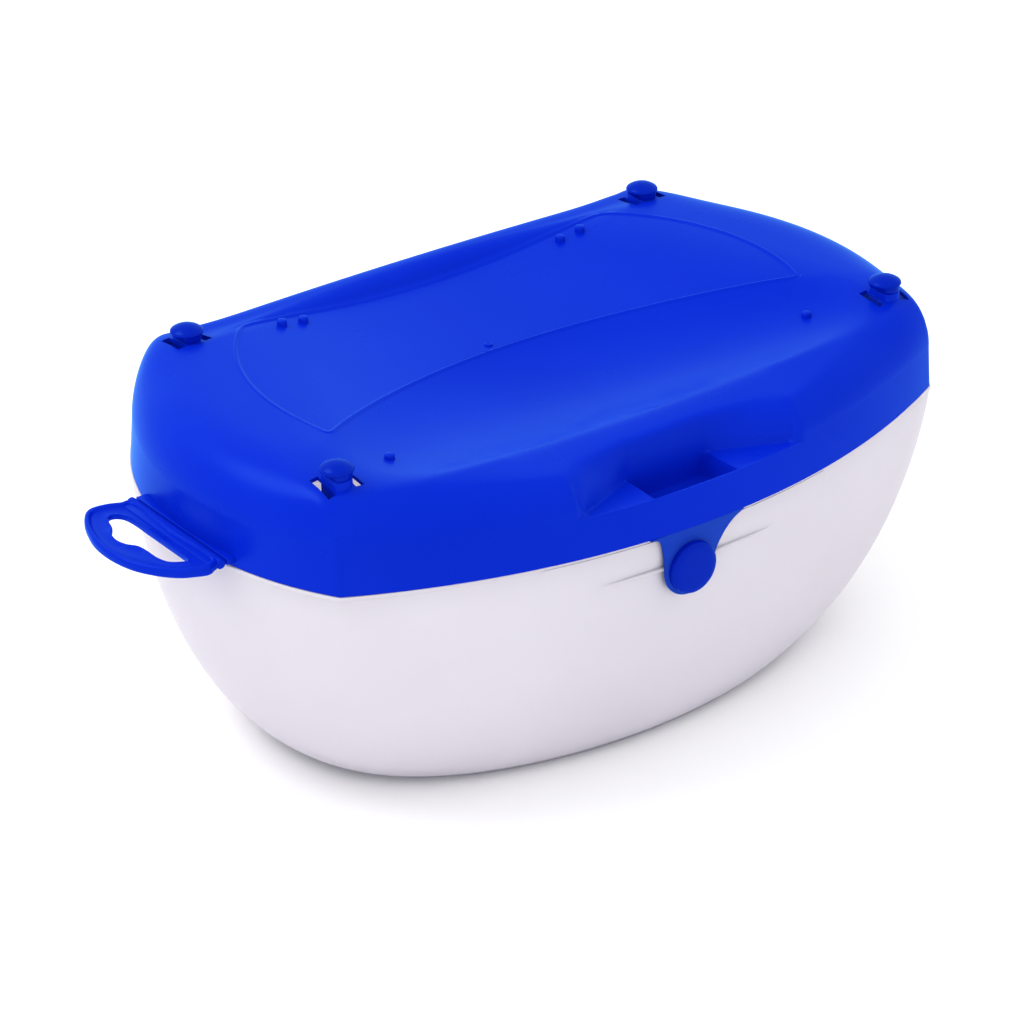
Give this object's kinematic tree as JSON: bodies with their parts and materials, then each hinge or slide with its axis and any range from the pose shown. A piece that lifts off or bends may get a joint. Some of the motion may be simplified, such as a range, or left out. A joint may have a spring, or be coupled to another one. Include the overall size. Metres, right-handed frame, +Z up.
{
  "type": "sandbox with cover",
  "caption": "Hand-carried play-sand box: translucent tub with a dished press-on lid, corner studs, a folding finger handle and a swing latch.",
  "frame": {"origin": "centre of the tub's flat bottom, on the plane it stands on", "axes": "+Z up, +X towards the right end (the handle is on -X), -Y towards the latch"},
  "size_m": [0.4517, 0.2664, 0.1888],
  "materials": {
    "clear_plastic": "translucent polypropylene, satin",
    "blue_plastic": "satin moulded polypropylene",
    "dark_blue_plastic": "satin moulded polypropylene"
  },
  "bodies": {
    "tub": {"tub": "clear_plastic", "left_hinge_pin": "blue_plastic", "right_hinge_pin": "blue_plastic"},
    "lid": {"lid": "blue_plastic", "front_left_stud": "dark_blue_plastic", "front_right_stud": "dark_blue_plastic", "back_left_stud": "dark_blue_plastic", "back_right_stud": "dark_blue_plastic"},
    "handle": {"carry_handle": "blue_plastic"},
    "latch": {"latch_tab": "blue_plastic", "latch_button": "dark_blue_plastic"}
  },
  "joints": [
    {"name": "lid_swing", "type": "hinge", "parent": "tub", "child": "lid", "pos_m": [0, 0.113, 0.119], "axis": [-1, 0, 0], "range_deg": [0, 110]},
    {"name": "latch_swing", "type": "hinge", "parent": "lid", "child": "latch", "pos_m": [-0.0055, -0.14415, 0.1314], "axis": [-1, 0, 0], "range_deg": [0, 95]},
    {"name": "handle_fold", "type": "hinge", "parent": "lid", "child": "handle", "pos_m": [-0.2082, -0.0115, 0.1359], "axis": [0, 1, 0], "range_deg": [-80, 45]}
  ]
}
